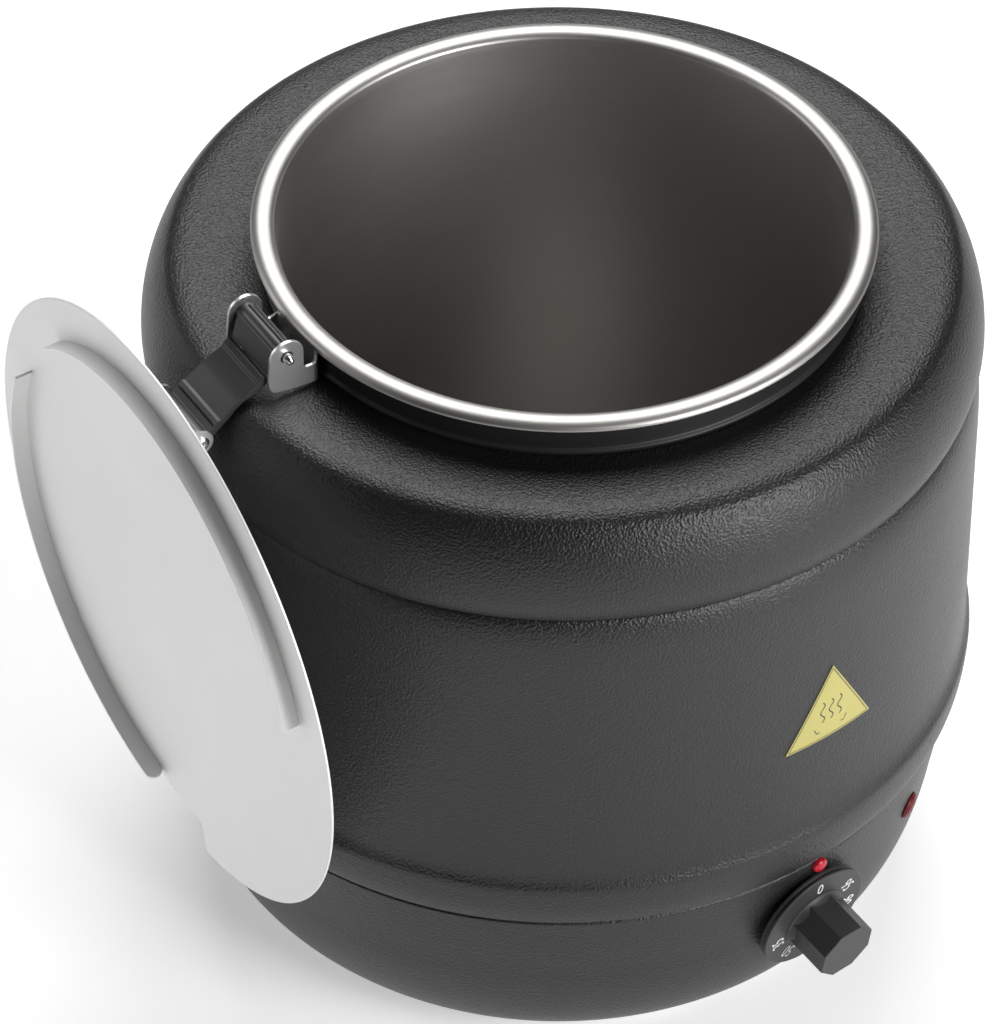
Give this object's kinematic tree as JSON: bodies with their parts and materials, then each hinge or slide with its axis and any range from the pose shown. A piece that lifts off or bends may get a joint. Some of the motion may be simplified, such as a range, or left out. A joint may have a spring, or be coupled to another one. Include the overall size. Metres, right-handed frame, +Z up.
{
  "type": "soup kettle",
  "caption": "Electric wet-heat soup kettle: round black stand with water bath, lift-out steel pot, knob control and a hinged steel lid with ladle notch, shown open.",
  "frame": {"origin": "centre of the round footprint, on the surface that the feet stand on", "axes": "+Z up; the lid hinge is at -X and its pins run along Y; the control knob faces about -Y; the cord gland faces about +Y"},
  "size_m": [0.3784, 0.3713, 0.3411],
  "materials": {
    "black_paint": "fine-textured semi-gloss black powder coat",
    "pot_steel": "satin stainless steel, brushed round the pot",
    "lid_steel": "satin stainless steel sheet",
    "hinge_steel": "stamped stainless steel with bright edges",
    "pin_steel": "bright turned steel",
    "zinc_steel": "zinc-plated steel",
    "arm_plastic": "dark grey satin moulded plastic",
    "knob_plastic": "black moulded phenolic with white figures",
    "black_rubber": "matt black rubber",
    "black_nylon": "black nylon",
    "red_dot": "glossy red moulded dot",
    "red_lens": "translucent dark red lens",
    "label_film": "printed self-adhesive film",
    "insulation": "mineral wool",
    "element_steel": "heat-tinted sheathed element",
    "brass": "plain brass",
    "copper": "plain copper",
    "ceramic": "off-white moulded insulator",
    "wire_sleeve": "braided silicone sleeve"
  },
  "bodies": {
    "kettle": {"base_shell": "black_paint", "bottom_plate": "zinc_steel", "foot_1": "black_rubber", "foot_2": "black_rubber", "foot_3": "black_rubber", "foot_4": "black_rubber", "foot_screws": "zinc_steel", "plate_screws": "zinc_steel", "body_shell": "black_paint", "shoulder_cover": "black_paint", "neck_collar": "black_nylon", "neck_seal": "black_rubber", "water_well": "pot_steel", "insulation_jacket": "insulation", "tie_rods": "zinc_steel", "tie_rod_lugs": "zinc_steel", "tie_rod_nuts": "zinc_steel", "heating_element": "element_steel", "element_nuts": "brass", "thermostat_body": "ceramic", "thermostat_nut": "zinc_steel", "capillary_tube": "copper", "sensor_bulb": "copper", "bulb_clip": "zinc_steel", "thermal_cutout": "ceramic", "cutout_bracket": "zinc_steel", "terminal_block": "ceramic", "earth_screw": "brass", "supply_wires": "wire_sleeve", "cord_gland": "black_nylon", "gland_nut": "black_nylon", "pilot_lamp_lens": "red_lens", "pilot_lamp_body": "black_nylon", "pilot_lamp_nut": "zinc_steel", "index_dot": "red_dot", "caution_label": "label_film"},
    "knob": {"thermostat_shaft": "zinc_steel", "scale_dial": "knob_plastic", "knob_grip": "knob_plastic"},
    "pot": {"inner_pot": "pot_steel", "hinge_bracket": "hinge_steel"},
    "arm": {"hinge_barrel": "arm_plastic", "hinge_arm": "arm_plastic", "hinge_pin": "pin_steel"},
    "lid": {"lid_plate": "lid_steel", "locating_strip_long": "lid_steel", "locating_strip_short": "lid_steel", "lid_bracket": "hinge_steel", "lid_pin": "pin_steel", "lid_knob": "black_nylon", "knob_stud": "zinc_steel"}
  },
  "joints": [
    {"name": "knob_turn", "type": "hinge", "parent": "kettle", "child": "knob", "pos_m": [0.02016, -0.16417, 0.061], "axis": [-0.1204, 0.9803, 0.1564], "range_deg": [0, 300]},
    {"name": "pot_lift", "type": "slide", "parent": "kettle", "child": "pot", "axis": [0, 0, 1], "range_m": [0, 0.25]},
    {"name": "arm_pivot", "type": "hinge", "parent": "pot", "child": "arm", "pos_m": [-0.1396, 0, 0.3306], "axis": [0, 1, 0], "range_deg": [0, 196.91]},
    {"name": "lid_pivot", "type": "hinge", "parent": "arm", "child": "lid", "pos_m": [-0.17907, 0, 0.30323], "axis": [0, 1, 0], "range_deg": [0, 75.55]}
  ],
  "couplings": [
    {"joint": "lid_pivot", "follows": "arm_pivot", "ratio": 0.38365}
  ]
}
